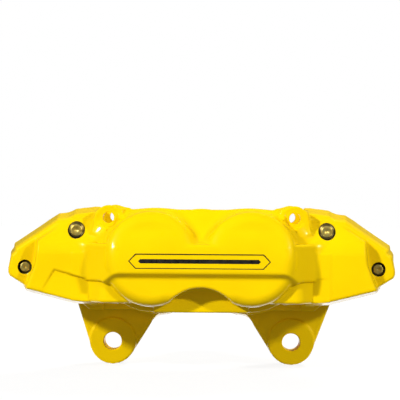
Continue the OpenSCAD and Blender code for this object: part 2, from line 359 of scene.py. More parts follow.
def ears(x, d, z):
    """The two mounting ears, each with its spot face standing a little forward."""
    ax = np.abs(x)
    sides = np.where(x < 0, outline(ax, z, EAR_OUTLINE), outline(ax, z, WIDE_EAR_OUTLINE))
    shape = join(sides, circle(ax, z, EAR_HOLE, EAR_R), 0.6)
    plate = meet(shape, between(d, EAR_FACE + 1.4, EAR_BACK), 2.4)
    spot = meet(shape, circle(ax, z, EAR_HOLE, EAR_SPOT_R), 0.8)
    return join(plate, meet(spot, between(d, EAR_FACE, 42), 1.0), 0.4)


def inboard_field(x, d, z):
    """The inner casting, before its round holes are cut."""
    ax = np.abs(x)
    body = body_of_half(x, d, z, plain_lobes(x, d, z), 28)
    wall = np.maximum(ax - 40, between(z, 22.3, 60))
    body = join(body, meet(wall, between(d, 30, INNER_WALL), 3), 4)
    fillet = 1 + 7 * np.clip((d - 39) / 7, 0, 1)
    body = join(body, ears(x, d, z), fillet)
    rim = outline(ax, z, [
        (0, 23.2), (30, 23.2), (53.4, 24.1), (85.3, 24.1), (91.3, 29.1), (95, 29.4), (95, 50),
        (0, 50)])
    rim = np.minimum(rim, np.maximum(circle(ax, z, LOBE, RIM_R), z - 50))
    body = join(body, meet(rim, between(d, 30, RIM_FACE), 1.9), 0.5)
    bolt_boss = meet(circle(ax, z, UPPER_BOLT, UPPER_BOSS_R), d - UPPER_SEAT - 0.4, 0.9)
    body = join(body, bolt_boss, 1.5)
    bleeder_boss = meet(circle(x, z, BLEEDER, BLEEDER_BOSS_R), between(d, 36, BLEEDER_FACE), 1.2)
    body = join(body, bleeder_boss, 4)
    inlet_boss = meet(circle(x, z, INLET, INLET_BOSS_R), between(d, 40, INLET_FACE), 1.2)
    body = join(body, inlet_boss, 3)
    return hollow(body, x, d, z)


# ---------------------------------------------------------------- fields to meshes

def untangle(values):
    """Flips the weakest corner wherever diagonal grid corners meet, so that the net is manifold."""
    for _ in range(12):
        found = 0
        for axis in range(3):
            low, high = slice(None, -1), slice(1, None)
            u, v = (axis + 1) % 3, (axis + 2) % 3
            ring = []
            for cu, cv in ((low, low), (high, low), (high, high), (low, high)):
                part = [slice(None)] * 3
                part[u], part[v] = cu, cv
                ring.append(values[tuple(part)])
            a, b, c, d = (r < 0 for r in ring)
            at = np.argwhere((a == c) & (b == d) & (a != b))
            found += len(at)
            weakest = np.argmin([np.abs(r[tuple(at.T)]) for r in ring], axis=0)
            at[:, u] += np.isin(weakest, (1, 2))
            at[:, v] += np.isin(weakest, (2, 3))
            at = np.unique(at, axis=0)
            values[tuple(at.T)] *= -1
        if not found:
            break


CORNERS = [(i, j, k) for i in (0, 1) for j in (0, 1) for k in (0, 1)]


def cell_points(values, cell):
    """For each cell, the mean of the places where its edges cross the surface."""
    corner = {c: values[tuple((cell + c).T)] for c in CORNERS}
    total, hits = np.zeros((len(cell), 3)), np.zeros(len(cell))
    for a in CORNERS:
        for axis in range(3):
            if a[axis] == 0:
                b = tuple(1 if i == axis else v for i, v in enumerate(a))
                crossing = (corner[a] < 0) != (corner[b] < 0)
                t = np.where(crossing, corner[a] / np.where(crossing, corner[a] - corner[b], 1), 0)
                point = np.tile(np.array(a, dtype=float), (len(cell), 1))
                point[:, axis] += t
                total += point * crossing[:, None]
                hits += crossing
    return total / hits[:, None]


def surface_nets(values, axes, step):
    """Vertices and quads of the zero surface of a field sampled on a grid."""
    untangle(values)
    inside = values < 0
    count = np.zeros([n - 1 for n in values.shape], dtype=np.int8)
    for c in CORNERS:
        count += inside[tuple(slice(o, n - 1 + o) for o, n in zip(c, values.shape))]
    cell = np.argwhere((count > 0) & (count < 8))
    number = np.full(count.shape, -1, dtype=np.int64)
    number[tuple(cell.T)] = np.arange(len(cell))
    origin = np.array([axis[0] for axis in axes])
    vertices = origin + (cell + cell_points(values, cell)) * step
    return vertices, np.concatenate([net_quads(inside, number, axis) for axis in range(3)])


def net_quads(inside, number, axis):
    """One quad for each grid edge along an axis that crosses the surface, wound outward."""
    u, v = (axis + 1) % 3, (axis + 2) % 3
    near = tuple(slice(None, -1) if i == axis else slice(None) for i in range(3))
    far = tuple(slice(1, None) if i == axis else slice(None) for i in range(3))
    edge = np.argwhere(inside[near] != inside[far])
    shape = number.shape
    edge = edge[(edge[:, u] > 0) & (edge[:, v] > 0) & (edge[:, u] < shape[u])
                & (edge[:, v] < shape[v])]
    outward = inside[near][tuple(edge.T)]
    ring = []
    for du, dv in ((-1, -1), (0, -1), (0, 0), (-1, 0)):
        at = edge.copy()
        at[:, u] += du
        at[:, v] += dv
        ring.append(number[tuple(at.T)])
    ring = np.stack(ring, axis=1)
    return np.where(outward[:, None], ring, ring[:, ::-1])


def settle(field, points, limit, rounds):
    """Moves points onto the zero surface of a field, at most limit at a time."""
    points = points.copy()
    eps = 0.08
    for _ in range(rounds):
        slope = np.empty_like(points)
        for axis in range(3):
            step = np.zeros(3)
            step[axis] = eps
            slope[:, axis] = (field(*(points + step).T) - field(*(points - step).T)) / (2 * eps)
        steep = np.maximum((slope * slope).sum(axis=1), 0.05)
        move = (field(*points.T) / steep)[:, None] * slope
        length = np.linalg.norm(move, axis=1)
        points -= move * np.minimum(1, limit / np.maximum(length, 1e-9))[:, None]
    return points


def to_row(points, side):
    """From (x, d, z) in millimetres to the row's frame in metres."""
    out = np.array(points, dtype=float)
    out[:, 1] = DISC_Y + side * out[:, 1]
    return out * MM


def from_row(points, side):
    """From the row's frame in metres to (x, d, z) in millimetres."""
    out = np.array(points, dtype=float) / MM
    out[:, 1] = (out[:, 1] - DISC_Y) * side
    return out


def new_object(name, vertices, faces):
    """A mesh object, linked into the scene."""
    mesh = bpy.data.meshes.new(name)
    mesh.from_pydata(np.asarray(vertices).tolist(), [], [list(f) for f in faces])
    mesh.update()
    piece = bpy.data.objects.new(name, mesh)
    bpy.context.scene.collection.objects.link(piece)
    return piece


def apply_modifiers(piece):
    """Replaces a piece's mesh by what its modifiers make of it."""
    graph = bpy.context.evaluated_depsgraph_get()
    mesh = bpy.data.meshes.new_from_object(piece.evaluated_get(graph))
    piece.modifiers.clear()
    old, piece.data = piece.data, mesh
    bpy.data.meshes.remove(old)


def coordinates(mesh):
    """Where a mesh's vertices are."""
    out = np.empty(len(mesh.vertices) * 3)
    mesh.vertices.foreach_get("co", out)
    return out.reshape(-1, 3)


def face_centres(piece, side):
    """The x, d and z of the middle of each face."""
    out = np.empty(len(piece.data.polygons) * 3)
    piece.data.polygons.foreach_get("center", out)
    return from_row(out.reshape(-1, 3), side).T


def casting(name, field, side, low, high, triangles):
    """Meshes a field on a grid from low to high, thins it where it is flat to that many
    triangles, and settles it on the surface again."""
    step = GRID_STEP
    axes = [np.arange(a, b + step, step) for a, b in zip(low, high)]
    values = field(axes[0][:, None, None], axes[1][None, :, None], axes[2][None, None, :])
    vertices, quads = surface_nets(values, axes, step)
    vertices = settle(field, vertices, step * 0.5, 4)
    if side == OUTBOARD:
        quads = quads[:, ::-1]
    piece = new_object(name, to_row(vertices, side), quads)
    if 2 * len(quads) > triangles:
        thin = piece.modifiers.new("thin", "DECIMATE")
        thin.ratio = triangles / (2 * len(quads))
        apply_modifiers(piece)
        points = settle(field, from_row(coordinates(piece.data), side), 0.15, 2)
        piece.data.vertices.foreach_set("co", to_row(points, side).ravel())
        piece.data.update()
    return piece


# ---------------------------------------------------------------- turned pieces

def tube_faces(rows, sides, closed=False):
    """Faces that join each ring of points to the next, with flat caps where it isn't closed."""
    faces = []
    for i in range(rows if closed else rows - 1):
        a, b = i * sides, (i + 1) % rows * sides
        for j in range(sides):
            k = (j + 1) % sides
            faces.append((a + j, a + k, b + k, b + j))
    if not closed:
        faces.append(list(range(sides))[::-1])
        faces.append(list(range((rows - 1) * sides, rows * sides)))
    return faces


def lathe(name, profile, at, side, segments=96, closed=False):
    """Turns a profile of (radius, d) about an axis along d through at.

    A radius is one number, or one number for each segment. The outer surface runs with d
    ascending, and an open profile is capped at both ends.
    """
    angles = np.arange(segments) * 2 * math.pi / segments
    rings = np.empty((len(profile), segments, 3))
    for ring, (r, d) in zip(rings, profile):
        ring[:, 0] = at[0] + r * np.cos(angles)
        ring[:, 1] = d
        ring[:, 2] = at[1] + r * np.sin(angles)
    faces = tube_faces(len(profile), segments, closed)
    if side == INBOARD:
        faces = [f[::-1] for f in faces]
    return new_object(name, to_row(rings.reshape(-1, 3), side), faces)


def hexagon(inner_r, limit, segments):
    """Radii of a hexagon round its flats' radius, cut back to a circle of radius limit."""
    turn = np.arange(segments) / segments * 6 % 1 - 0.5
    return np.minimum(inner_r / np.cos(turn * math.pi / 3), limit)


def threaded(r, depth, pitch, start, end, segments, lead_in):
    """Rings of a screw thread from d = start to end, tapered over lead_in at its start."""
    steps = 8
    turn = np.arange(segments) / segments
    rings = []
    for d in np.arange(start, end, pitch / steps):
        phase = ((d - start) / pitch - turn) % 1
        ridge = r - depth * np.clip(np.abs(2 * phase - 1) * 1.5 - 0.25, 0, 1)
        rings.append((np.minimum(ridge, r - lead_in + (d - start)), d))
    return rings


def unite(name, pieces):
    """Joins objects into one mesh of that name."""
    base = pieces[0]
    for piece in bpy.context.selected_objects:
        piece.select_set(False)
    for piece in pieces:
        piece.select_set(True)
    bpy.context.view_layer.objects.active = base
    bpy.ops.object.join()
    base.name = name
    base.data.name = name
    return base


def subtract(piece, cutters):
    """Cuts shapes out of a piece, and removes the cutters."""
    tool = unite("cutter", cutters)
    carve = piece.modifiers.new("carve", "BOOLEAN")
    carve.operation = "DIFFERENCE"
    carve.solver = "MANIFOLD"
    carve.object = tool
    apply_modifiers(piece)
    bpy.data.objects.remove(tool)


def shade(piece, angle):
    """Smooth shading, with edges sharper than angle degrees left sharp."""
    for polygon in piece.data.polygons:
        polygon.use_smooth = True
    piece.data.set_sharp_from_angle(angle=math.radians(angle))


def dress(piece, body, node, material, angle=35):
    """Shades a piece, gives it its material, and puts it in the frame in place of its node."""
    shade(piece, angle)
    piece.data.materials.clear()
    piece.data.materials.append(material)
    if body:
        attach(piece, body)
    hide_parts(node)


def second_material(piece, material, chosen):
    """Gives the chosen faces another material."""
    piece.data.materials.append(material)
    piece.data.polygons.foreach_set("material_index", chosen.astype(np.int32))


def pair(at):
    """A place on the left and its mirror on the right."""
    return [(-at[0], at[1]), at]


def hole(at, r, near, far, side, chamfer=0.0):
    """A cutter for a round hole, opened at its far end by a chamfer."""
    profile = [(r, near), (r, far)]
    if chamfer:
        profile = [(r, near), (r, far - chamfer), (r + chamfer + PAST_FACE, far + PAST_FACE)]
    return lathe("hole", profile, at, side, 64)


def seat(at, r, head_r, seat_d, side):
    """A cutter for a bolt's clearance hole and the counterbore of its head."""
    return lathe("seat", [(r, -3), (r, seat_d), (head_r, seat_d), (head_r, 60)], at, side, 64)


def bore_cutters(side):
    """Cutters for the piston bores, with their boots' seats and their seals' grooves."""
    r = PISTON_R + 0.05
    profile = [
        (BOOT_SEAT_R + 1.2, 31), (BOOT_SEAT_R + 1.2, GAP_FACE - 0.2), (BOOT_SEAT_R, GAP_FACE + 1),
        (BOOT_SEAT_R, BOOT_SEAT), (r + 0.9, BOOT_SEAT), (r, BOOT_SEAT + 0.9),
        (r, SEAL - 1.9), (SEAL_GROOVE_R, SEAL - 1.9), (SEAL_GROOVE_R, SEAL + 1.9), (r, SEAL + 1.9),
        (r, BORE_FLOOR - 0.9), (r - 1, BORE_FLOOR)]
    return [lathe("bore", profile, at, side, 128) for at in pair(LOBE)]


# ---------------------------------------------------------------- materials

class Surface:
    """A Principled material, with short ways to add the nodes that give it detail."""

    def __init__(self, name, roughness, metallic=0.0, specular=0.5):
        self.material = bpy.data.materials.new(name)
        self.material.use_nodes = True
        self.tree = self.material.node_tree
        self.bsdf = self.tree.nodes["Principled BSDF"]
        self.bsdf.inputs["Roughness"].default_value = roughness
        self.bsdf.inputs["Metallic"].default_value = metallic
        self.bsdf.inputs["Specular IOR Level"].default_value = specular
        self.place = self.tree.nodes.new("ShaderNodeTexCoord").outputs["Object"]
        self.last_bump = None

    def noise(self, scale, detail=3.0, stretch=(1, 1, 1)):
        """Noise over the surface, scale features to the metre."""
        mapping = self.tree.nodes.new("ShaderNodeMapping")
        mapping.inputs["Scale"].default_value = stretch
        self.tree.links.new(self.place, mapping.inputs["Vector"])
        node = self.tree.nodes.new("ShaderNodeTexNoise")
        node.inputs["Scale"].default_value = scale
        node.inputs["Detail"].default_value = detail
        self.tree.links.new(mapping.outputs["Vector"], node.inputs["Vector"])
        return node.outputs["Fac"]

    def ramp(self, value, low, high, colours):
        """Colours spread evenly over value from low to high."""
        node = self.tree.nodes.new("ShaderNodeValToRGB")
        stops = node.color_ramp.elements
        for i, colour in enumerate(colours):
            where = low + (high - low) * i / (len(colours) - 1)
            stop = stops[i] if i < 2 else stops.new(where)
            stop.position = where
            stop.color = (*colour, 1)
        self.tree.links.new(value, node.inputs["Fac"])
        return node.outputs["Color"]

    def colour(self, value, low, high, *colours):
        """Base colour that follows value from low to high."""
        self.tree.links.new(self.ramp(value, low, high, colours), self.bsdf.inputs["Base Color"])

    def roughness(self, value, low, high):
        """Roughness from low to high, following the middle of a noise value's range."""
        node = self.tree.nodes.new("ShaderNodeMapRange")
        node.inputs["From Min"].default_value = 0.3
        node.inputs["From Max"].default_value = 0.7
        node.inputs["To Min"].default_value = low
        node.inputs["To Max"].default_value = high
        self.tree.links.new(value, node.inputs["Value"])
        self.tree.links.new(node.outputs["Result"], self.bsdf.inputs["Roughness"])

    def bump(self, value, depth):
        """Adds relief of a depth in millimetres, on top of any added before."""
        node = self.tree.nodes.new("ShaderNodeBump")
        node.inputs["Strength"].default_value = 1
        node.inputs["Distance"].default_value = depth * MM
        self.tree.links.new(value, node.inputs["Height"])
        if self.last_bump:
            self.tree.links.new(self.last_bump.outputs["Normal"], node.inputs["Normal"])
        self.tree.links.new(node.outputs["Normal"], self.bsdf.inputs["Normal"])
        self.last_bump = node


def enamel():
    """Glossy paint over a fine cast surface."""
    surface = Surface("yellow_enamel", 0.3, specular=0.03)
    surface.bsdf.inputs["Coat Weight"].default_value = 0.5
    surface.bsdf.inputs["Coat Roughness"].default_value = 0.035
    surface.colour(surface.noise(38, 4), 0.3, 0.7, (0.87, 0.57, 0.0), (0.91, 0.615, 0.0))
    surface.roughness(surface.noise(220), 0.26, 0.4)
    surface.bump(surface.noise(420, 2), 0.035)
    surface.bump(surface.noise(90, 3), 0.10)
    return surface.material


def bored_metal():
    """Cast iron where it is machined."""
    surface = Surface("bored_metal", 0.32, metallic=1)
    surface.colour(surface.noise(120), 0.3, 0.7, (0.36, 0.35, 0.33), (0.52, 0.51, 0.49))
    surface.roughness(surface.noise(300), 0.25, 0.42)
    surface.bump(surface.noise(60, 2, (1, 60, 1)), 0.02)
    return surface.material


def zinc():
    """Zinc plating with an uneven yellow passivation."""
    surface = Surface("yellow_zinc", 0.35, metallic=0.75)
    surface.colour(surface.noise(190, 4), 0.32, 0.68, (0.42, 0.31, 0.06), (0.72, 0.52, 0.10),
                   (0.56, 0.47, 0.14), (0.76, 0.56, 0.12))
    surface.roughness(surface.noise(500), 0.28, 0.48)
    surface.bump(surface.noise(700, 2), 0.02)
    return surface.material


def oiled_and_shaded_thread():
    """The same plating, darkened for oil in the threads and, as painted shade, for the gap round
    the bolt ends.
    """
    surface = Surface("oiled_and_shaded_thread", 0.35, metallic=0.75)
    # The dark colour is partly oil and partly painted shade, for the shaded gap round each bolt end
    surface.colour(surface.noise(260, 4), 0.3, 0.7, (0.11, 0.085, 0.025), (0.30, 0.23, 0.07))
    surface.roughness(surface.noise(500), 0.25, 0.45)
    surface.bump(surface.noise(700, 2), 0.02)
    return surface.material


def plating():
    """A piston's ground plating, with fine marks round it."""
    surface = Surface("ground_plating", 0.16, metallic=1)
    surface.colour(surface.noise(50), 0.3, 0.7, (0.66, 0.67, 0.69), (0.78, 0.79, 0.80))
    surface.roughness(surface.noise(40, 2, (1, 70, 1)), 0.12, 0.26)
    surface.bump(surface.noise(40, 2, (1, 90, 1)), 0.006)
    return surface.material


def spring_steel():
    """The bright wire of the boots' rings."""
    surface = Surface("spring_steel", 0.3, metallic=1)
    surface.colour(surface.noise(150), 0.3, 0.7, (0.45, 0.45, 0.46), (0.62, 0.62, 0.63))
    surface.roughness(surface.noise(400), 0.22, 0.4)
    surface.bump(surface.noise(600, 2), 0.01)
    return surface.material


def moulded_rubber():
    """Satin black rubber."""
    surface = Surface("moulded_rubber", 0.5, specular=0.4)
    surface.colour(surface.noise(160, 4), 0.3, 0.7, (0.012, 0.012, 0.013), (0.035, 0.034, 0.036))
    surface.roughness(surface.noise(260), 0.42, 0.62)
    surface.bump(surface.noise(900, 2), 0.02)
    return surface.material


def black_ink():
    """The decal's ink, on the paint's own grain."""
    surface = Surface("black_ink", 0.3, specular=0.35)
    surface.colour(surface.noise(300), 0.3, 0.7, (0.006, 0.006, 0.006), (0.02, 0.019, 0.017))
    surface.roughness(surface.noise(500), 0.24, 0.4)
    surface.bump(surface.noise(420, 2), 0.01)
    return surface.material


ENAMEL = enamel()
BORED = bored_metal()
ZINC = zinc()
OILED_AND_SHADED = oiled_and_shaded_thread()
PLATING = plating()
SPRING = spring_steel()
RUBBER = moulded_rubber()
INK = black_ink()

# ---------------------------------------------------------------- castings

GRID_STEP = 0.9


def pin_holes(side):
    """Cutters for the pad pins' holes."""
    return [hole(at, PIN_HOLE_R, 30, PIN_FACE, side, 0.5) for at in pair(PAD_PIN)]


def outboard_casting():
    """The outer half, with through holes for the bolts' threads."""
    side = OUTBOARD
    low, high, triangles = (-143, -2, 25), (143, 68, 106), 150000
    piece = casting("outboard_casting", outboard_field, side, low, high, triangles)
    cutters = bore_cutters(side) + pin_holes(side)
    cutters += [hole(at, UPPER_HOLE_R[side], -3, 60, side) for at in pair(UPPER_BOLT)]
    cutters += [hole(at, END_HOLE_R[side], -3, END_FACE, side, 0.2) for at in pair(END_BOLT)]
    subtract(piece, cutters)
    return piece


def crossover_hole(at):
    """A cutter for the fluid's way across, with the seat of its seal."""
    drill_r, seat_r, seat_d = 1.8, 7, 1.5
    profile = [(drill_r, -3), (seat_r, -3), (seat_r, seat_d), (drill_r, seat_d), (drill_r, 31)]
    return lathe("crossover", profile, at, INBOARD, 48)


def ear_hole(at):
    """A cutter for a mounting hole, chamfered at both faces."""
    wide_r, reach, chamfer = 12, 4.65, 0.6
    profile = [(wide_r, EAR_FACE - reach), (EAR_HOLE_R, EAR_FACE + chamfer),
               (EAR_HOLE_R, EAR_BACK - chamfer), (wide_r, EAR_BACK + reach)]
    return lathe("ear_hole", profile, at, INBOARD, 96)


def inlet_hole():
    """A cutter for the hose's tapped hole and its chamfer."""
    mouth_r, mouth_d = 5.2, INLET_FACE - 0.6
    thread = threaded(5.0, 0.5, 1.0, INLET_BOTTOM, mouth_d, 48, 0)
    cone = [(mouth_r, mouth_d), (mouth_r + PAST_FACE, mouth_d + PAST_FACE)]
    return lathe("port", [(r + 0.1, d) for r, d in thread] + cone, INLET, INBOARD, 48)


def inboard_casting():
    """The inner half, with clear bolt holes, head seats, ear holes and fluid ports."""
    side = INBOARD
    low, high, triangles = (-143, -2, -20), (143, 66, 106), 170000
    piece = casting("inboard_casting", inboard_field, side, low, high, triangles)
    cutters = bore_cutters(side) + pin_holes(side)
    cutters += [seat(at, UPPER_HOLE_R[side], UPPER_HEAD_SEAT_R, UPPER_SEAT, side)
                for at in pair(UPPER_BOLT)]
    cutters += [seat(at, END_HOLE_R[side], END_HEAD_SEAT_R, END_SEAT, side)
                for at in pair(END_BOLT)]
    cutters += [crossover_hole(at) for at in pair(CROSSOVER)]
    cutters += [ear_hole(at) for at in pair(EAR_HOLE)]
    cutters.append(inlet_hole())
    cutters.append(hole(BLEEDER, BLEEDER_HOLE_R, BLEEDER_BOTTOM, BLEEDER_FACE, side, 0.6))
    subtract(piece, cutters)
    return piece


def bare_faces(piece, side):
    """Gives the machined bores, bolt holes, head seats and ports their bare metal."""
    x, d, z = face_centres(piece, side)
    ax = np.abs(x)
    in_bore = circle(ax, z, LOBE, BOOT_SEAT_R + 0.3) < 0
    bare = in_bore & (d > GAP_FACE + 0.6) & (d < BORE_FLOOR + 0.3)
    for at, r in ((UPPER_BOLT, UPPER_HOLE_R[side]), (END_BOLT, END_HOLE_R[side])):
        bare |= np.abs(circle(ax, z, at, r)) < 0.03
    if side == INBOARD:
        for at, r, seat_d in ((UPPER_BOLT, UPPER_HEAD_SEAT_R, UPPER_SEAT),
                              (END_BOLT, END_HEAD_SEAT_R, END_SEAT)):
            bare |= (circle(ax, z, at, r + 0.05) < 0) & (np.abs(d - seat_d) < 0.05)
        port_r = 5.2
        for at, bottom in ((INLET, INLET_BOTTOM), (BLEEDER, BLEEDER_BOTTOM)):
            bare |= (circle(x, z, at, port_r) < 0) & (d > bottom - 0.1)
    second_material(piece, BORED, bare)


for make, node, side in ((outboard_casting, "outboard_half", OUTBOARD),
                         (inboard_casting, "inboard_half", INBOARD)):
    piece = make()
    dress(piece, "caliper", node, ENAMEL, 38)
    bare_faces(piece, side)

# ---------------------------------------------------------------- bolts

# How far in from the head's seat a bridge bolt's thread starts
SHANK = 22.0


def bridge_bolt(at, r, pitch, end, seat_d, flange_r, flat_r):
    """A flanged hexagon bolt whose thread ends at d = -end and whose head seats at seat_d."""
    segments = 96
    tip = -end
    grip = seat_d - SHANK
    head = seat_d + 2.5
    top = head + 8
    rings = [
        (0.3, tip + 0.7), (r * 0.14, tip + 0.35), (r * 0.2, tip + 0.1), (r * 0.5, tip),
        (r * 0.64, tip + 0.05), (r * 0.69, tip + 0.25), (r * 0.76, tip + 0.9)]
    rings += threaded(r, r * 0.1, pitch, tip + 1.0, grip, segments, 1.1)
    rings += [
        (r - 0.05, grip + 0.4), (r - 0.05, seat_d - 0.3), (r + 0.25, seat_d),
        (flange_r - 0.4, seat_d), (flange_r, seat_d + 0.4), (flange_r, seat_d + 0.9),
        (flange_r - 0.5, seat_d + 1.2), (flat_r + 1.5, head - 0.2),
        (hexagon(flat_r, flange_r, segments), head),
        (hexagon(flat_r, flat_r * 1.12, segments), top - 0.9),
        (hexagon(flat_r, flat_r * 0.98, segments), top - 0.1), (flat_r * 0.93, top),
        (flat_r * 0.72, top), (flat_r * 0.66, top - 0.5), (flat_r * 0.2, top - 0.7)]
    return lathe("bolt", rings, at, INBOARD, segments)


def darken_threads(piece, at, r, grip):
    """Gives the faces round the threaded ends their darker colour: oil, with painted shade for the
    gap round the bolt ends.
    """
    x, d, z = face_centres(piece, INBOARD)
    round_the_face = circle(np.abs(x), z, at, r * 0.69) > 0
    # Painted shade: the darker thread colour also stands in for the shade in the gap round each
    # bolt end
    second_material(piece, OILED_AND_SHADED, round_the_face & (d < grip))


for place, at, r, pitch, end, seat_d, flange_r, flat_r in (
        ("upper", UPPER_BOLT, 6.0, 1.75, 36, UPPER_SEAT, 11, 8.5),
        ("end", END_BOLT, 5.0, 1.5, 30.5, END_FACE, 9.2, 7.0)):
    bolts = [bridge_bolt(spot, r, pitch, end, seat_d, flange_r, flat_r) for spot in pair(at)]
    piece = unite(f"bridge_bolt_set_{place}", bolts)
    dress(piece, "caliper", f"bridge_bolts_{place}", ZINC)
    darken_threads(piece, at, r, seat_d - SHANK)

# ---------------------------------------------------------------- pistons and their rings

def cup_piston(name, at, side):
    """A cup, open towards the disc, with the boot's groove near its rim."""
    front, back, r = PISTON_FRONT, 56.5, PISTON_R
    cup_r, cup_floor, groove_r = 19.5, 49.5, 22.5
    profile = [
        (1.2, cup_floor + 1.2), (3.2, cup_floor), (cup_r - 2, cup_floor),
        (cup_r - 0.6, cup_floor - 0.6), (cup_r, cup_floor - 2), (cup_r, front + 6),
        (cup_r + 0.25, front + 5.7), (cup_r + 0.25, front + 0.8), (cup_r + 1, front),
        (r - 0.9, front), (r - 0.4, front + 0.4), (r - 0.4, front + 0.9),
        (groove_r, front + 1.15), (groove_r, front + 3), (r - 0.3, front + 3.2), (r, front + 3.6),
        (r, back - 1.6), (r - 1.2, back), (5, back), (4, back - 0.4)]
    return lathe(name, profile, at, side, 128)


def smooth(points, rounds):
    """Rounds an open line of points by cutting its corners, with its ends kept."""
    for _ in range(rounds):
        inner = [points[:1]]
        for a, b in zip(points[:-1], points[1:]):
            inner.append([a * 0.75 + b * 0.25, a * 0.25 + b * 0.75])
        points = np.concatenate(inner + [points[-1:]])
    return points


def boot(name, at, side):
    """A moulded boot: the lip in the piston's groove, one fold, and the bead in its seat."""
    fold = [(24.3, 32.75), (25.0, 32.35), (25.7, 32.45), (26.05, 33.0), (25.75, 33.6),
            (25.55, 34.2), (25.9, 34.8)]
    fold = smooth(np.array(fold), 2)
    along = np.gradient(fold, axis=0)
    along /= np.linalg.norm(along, axis=1)[:, None]
    across = np.stack([along[:, 1], -along[:, 0]], axis=1) * BOOT_WALL
    lip = [(23.4, 33.35), (22.75, 33.15), (22.6, 32.6), (22.75, 32.05), (23.4, 31.85)]
    bead = [(26.6, 34.9), (27.5, 34.9), (27.9, 35.4), (27.9, 37.3), (27.4, 37.85), (25.4, 37.85),
            (24.8, 37.3), (24.8, 35.6)]
    outer, inner = fold - across, fold + across
    profile = lip + outer.tolist() + bead + inner[::-1].tolist()
    return lathe(name, profile, at, side, 96, closed=True)


def seal(name, at, side):
    """A square-cut ring."""
    low, high, inner, outer, edge = SEAL - 1.7, SEAL + 1.7, PISTON_R + 0.04, 27.1, 0.25
    profile = [
        (inner, high - edge), (inner, low + edge), (inner + edge, low), (outer - edge, low),
        (outer, low + edge), (outer, high - edge), (outer - edge, high), (inner + edge, high)]
    return lathe(name, profile, at, side, 96, closed=True)


def wire_ring(name, at, side):
    """A ring of round wire with a gap between its two rounded ends."""
    r, d, wire_r, gap, sides, steps = 27.1, 33.85, 0.75, 7.0, 14, 110
    turn = np.arange(sides) * 2 * math.pi / sides
    # The share of the wire's radius at each angle in from an end
    ends = [(0.25, 0.15), (0.75, 0.4), (1.0, 1.2)]
    stations = [(w, -90 + gap / 2 + a) for w, a in ends]
    stations += [(1.0, -90 + a) for a in np.linspace(gap / 2 + 4, 356 - gap / 2, steps)]
    stations += [(w, 270 - gap / 2 - a) for w, a in ends[::-1]]
    points = []
    for w, angle in stations:
        ring_r = r + w * wire_r * np.cos(turn)
        c, s = math.cos(math.radians(angle)), math.sin(math.radians(angle))
        ring_d = d + w * wire_r * np.sin(turn)
        points.append(np.stack([at[0] + ring_r * c, ring_d, at[1] + ring_r * s], axis=1))
    faces = tube_faces(len(stations), sides)
    if side == OUTBOARD:
        faces = [f[::-1] for f in faces]
    return new_object(name, to_row(np.concatenate(points), side), faces)


for side, half in ((OUTBOARD, "outboard"), (INBOARD, "inboard")):
    for at, end in zip(pair(LOBE), ("left", "right")):
        place = f"{half}_{end}"
        dress(cup_piston(f"cup_piston_{place}", at, side), f"piston_{place}", f"piston_{place}",
              PLATING)
        dress(seal(f"square_seal_{place}", at, side), "caliper", f"seal_{place}", RUBBER)
        dress(wire_ring(f"wire_ring_{place}", at, side), "caliper", f"boot_ring_{place}",
              SPRING, 50)
        piece = boot(f"dust_boot_{place}", at, side)
        dress(piece, None, f"boot_{place}", RUBBER, 60)
        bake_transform(piece)

# ---------------------------------------------------------------- crossover seals and bleeder

def crossover_seal(at):
    """A flat ring with rounded edges."""
    low, high, inner, outer = 0.05, 1.45, 4.0, 6.8
    profile = [
        (inner + 0.1, high - 0.3), (inner, low + 0.7), (inner + 0.1, low + 0.3), (inner + 0.5, low),
        (outer - 0.5, low), (outer - 0.1, low + 0.3), (outer, low + 0.7), (outer - 0.1, high - 0.3),
        (outer - 0.5, high), (inner + 0.5, high)]
    return lathe("crossover", profile, at, INBOARD, 64, closed=True)


def bleeder():
    """The bleeder: a cone-ended thread, a hexagon and a barbed nipple with its bore."""
    segments, flat_r = 72, 5.0
    rings = [(0.8, 43.4), (2.0, 43.3), (4.0, 46.3), (4.0, 48.3)]
    rings += threaded(5.0, 0.5, 1.0, 48.4, 55.6, segments, 0.8)
    rings += [
        (4.3, 55.9), (4.2, 57.6), (4.4, 58.3), (4.9, 58.5),
        (hexagon(flat_r, 5.35, segments), 58.55),
        (hexagon(flat_r, 5.77, segments), 59.0), (hexagon(flat_r, 5.77, segments), 63.9),
        (hexagon(flat_r, 5.3, segments), 64.4), (4.6, 64.5), (3.4, 64.5), (2.75, 64.9), (2.6, 65.4),
        (2.6, 68.2), (2.9, 68.5), (3.3, 68.6), (3.4, 68.9), (3.35, 70.4), (2.3, 75.6), (2.0, 76),
        (1.2, 76), (1.0, 75.6), (1.0, 66)]
    return lathe("bleeder_nipple", rings, BLEEDER, INBOARD, segments)


def dust_cap():
    """A ribbed rubber cap, hollow over the nipple, with a rolled mouth."""
    segments = 96
    ribs = 0.16 * np.cos(np.arange(segments) * 2 * math.pi / segments * 24)
    rings = [(0.3, 76.35), (2.2, 76.3), (3.1, 75.6), (3.45, 74), (3.45, 65.9), (3.7, 65.5),
             (4.8, 65.5), (5.15, 65.8), (5.2, 66.5), (5.15, 67.2), (4.8, 67.6), (4.62, 67.9)]
    rings += [(4.55 + ribs, d) for d in (68.2, 70, 72, 74, 75.4)]
    rings += [(4.5, 75.9), (4.35, 76.6), (3.8, 77.4), (2.8, 77.75), (1.2, 77.8), (0.5, 77.8)]
    return lathe("nipple_dust_cap", rings, BLEEDER, INBOARD, segments)


seals = [crossover_seal(at) for at in pair(CROSSOVER)]
dress(unite("crossover_ring_pair", seals), "caliper", "crossover_seals", RUBBER, 60)
dress(bleeder(), "bleeder", "bleeder_screw", ZINC)
dress(dust_cap(), "cap", "bleeder_cap", RUBBER, 50)

# ---------------------------------------------------------------- decal

